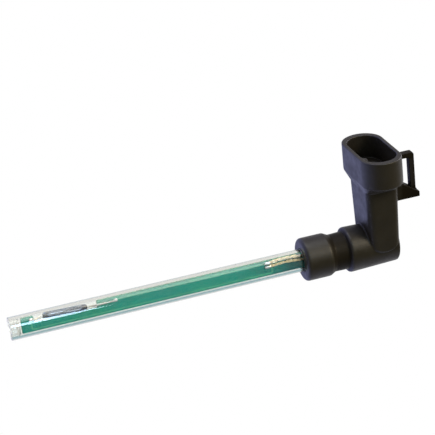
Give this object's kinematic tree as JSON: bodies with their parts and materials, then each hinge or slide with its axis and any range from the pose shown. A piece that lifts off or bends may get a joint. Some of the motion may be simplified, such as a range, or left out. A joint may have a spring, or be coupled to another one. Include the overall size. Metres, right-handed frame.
{
  "type": "level sensor probe",
  "caption": "Clear straight probe tube with a reed switch on a green circuit board, fixed in a black right-angle plug-in head with an upright connector socket and latch.",
  "frame": {"origin": "on the probe tube's axis, at the front face of the head, where the tube enters it", "axes": "-X along the tube to its tip, +Z out of the connector socket's mouth"},
  "size_m": [0.1488, 0.0306, 0.0438],
  "materials": {
    "black_nylon": "satin black moulded plastic with a fine grain",
    "clear_tube": "polished clear tube",
    "clear_resin": "milky clear resin",
    "board_green": "glossy green solder mask on glass fibre board",
    "masked_copper": "copper under green solder mask",
    "solder": "bright tin solder",
    "reed_glass": "clear bluish glass",
    "reed_alloy": "drawn nickel iron wire",
    "gilt_brass": "gold flashed brass strip",
    "carrier_plastic": "dark grey moulded plastic",
    "epoxy": "black casting resin"
  },
  "bodies": {
    "probe": {"head_housing": "black_nylon", "probe_tube": "clear_tube", "tip_plug": "clear_resin", "tube_sealant": "epoxy", "circuit_board": "board_green", "copper_tracks": "masked_copper", "tinned_pads": "solder", "reed_capsule": "reed_glass", "reed_lead_tip": "reed_alloy", "reed_lead_head": "reed_alloy", "solder_reed_tip": "solder", "solder_reed_head": "solder", "solder_terminals": "solder", "upper_terminal": "gilt_brass", "lower_terminal": "gilt_brass", "terminal_carrier": "carrier_plastic", "potting_compound": "epoxy"},
    "latch": {"latch_arm": "black_nylon"},
    "tip_blade": {"reed_blade_tip": "reed_alloy"},
    "head_blade": {"reed_blade_head": "reed_alloy"}
  },
  "joints": [
    {"name": "latch_flex", "type": "hinge", "parent": "probe", "child": "latch", "pos_m": [0.04285, 0, 0.0183], "axis": [0, 1, 0], "range_deg": [0, 8], "stiffness_Nm_per_rad": 0.25},
    {"name": "reed_tip_flex", "type": "hinge", "parent": "probe", "child": "tip_blade", "pos_m": [-0.09053, 0, 0.00168], "axis": [0, -1, 0], "range_deg": [0, 0.7]},
    {"name": "reed_head_flex", "type": "hinge", "parent": "probe", "child": "head_blade", "pos_m": [-0.07897, 0, 0.00172], "axis": [0, -1, 0], "range_deg": [0, 0.7]}
  ],
  "couplings": [
    {"joint": "reed_head_flex", "follows": "reed_tip_flex", "ratio": 1}
  ]
}
